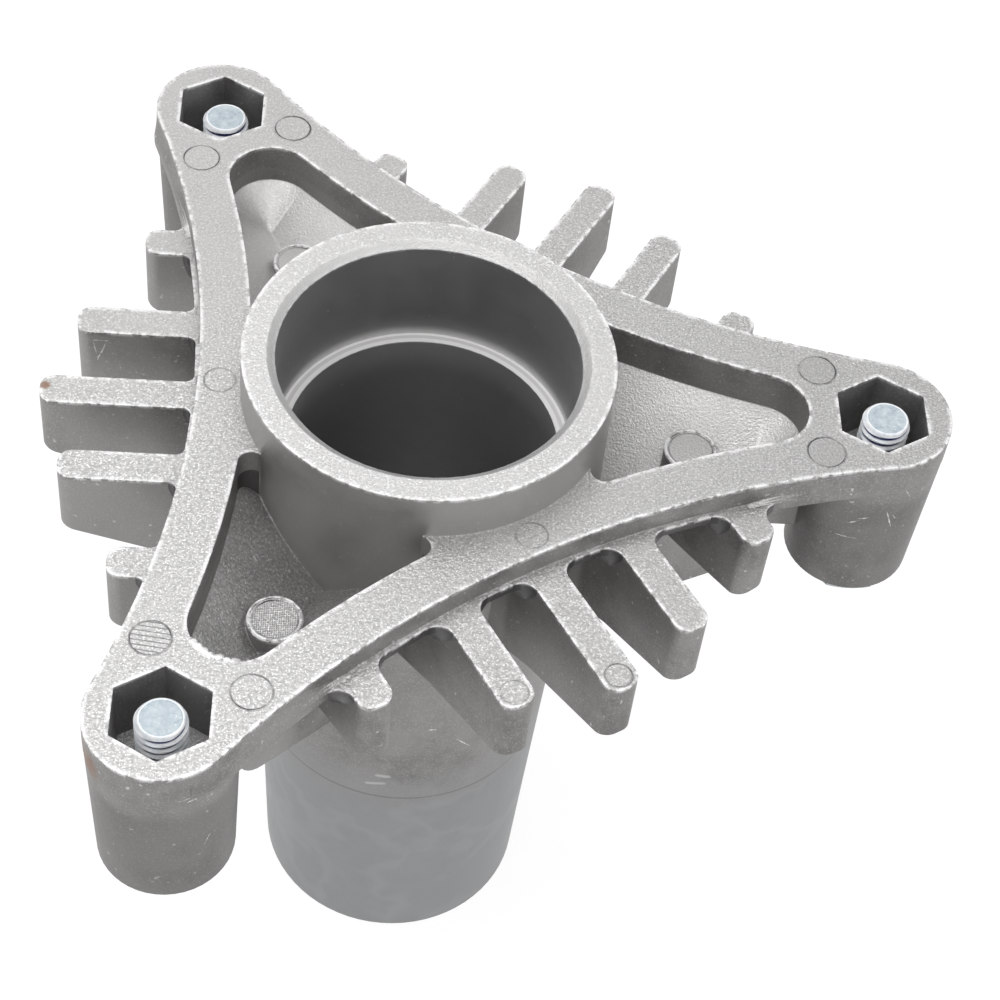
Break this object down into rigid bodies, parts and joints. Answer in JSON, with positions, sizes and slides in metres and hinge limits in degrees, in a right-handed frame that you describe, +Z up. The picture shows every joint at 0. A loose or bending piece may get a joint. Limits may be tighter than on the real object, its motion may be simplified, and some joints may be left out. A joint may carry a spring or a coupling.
{
  "type": "spindle housing",
  "caption": "Finned three-arm die-cast housing with a long bearing tube, a raised bearing ring, cored pockets and post-mounted screws.",
  "frame": {"origin": "centre of the tube's foot, on the spindle axis", "axes": "+Z up the spindle axis from the tube's foot to the bearing ring, +X along the first arm, +Y to its left"},
  "size_m": [0.1421, 0.1458, 0.1322],
  "materials": {
    "casting": "as-cast die-cast skin, grainy on top, with flash lines, scratches and grey wear",
    "screws": "bluish zinc plating, slightly dulled"
  },
  "bodies": {
    "root": {"housing": "casting", "mounting_screws": "screws"}
  },
  "joints": []
}
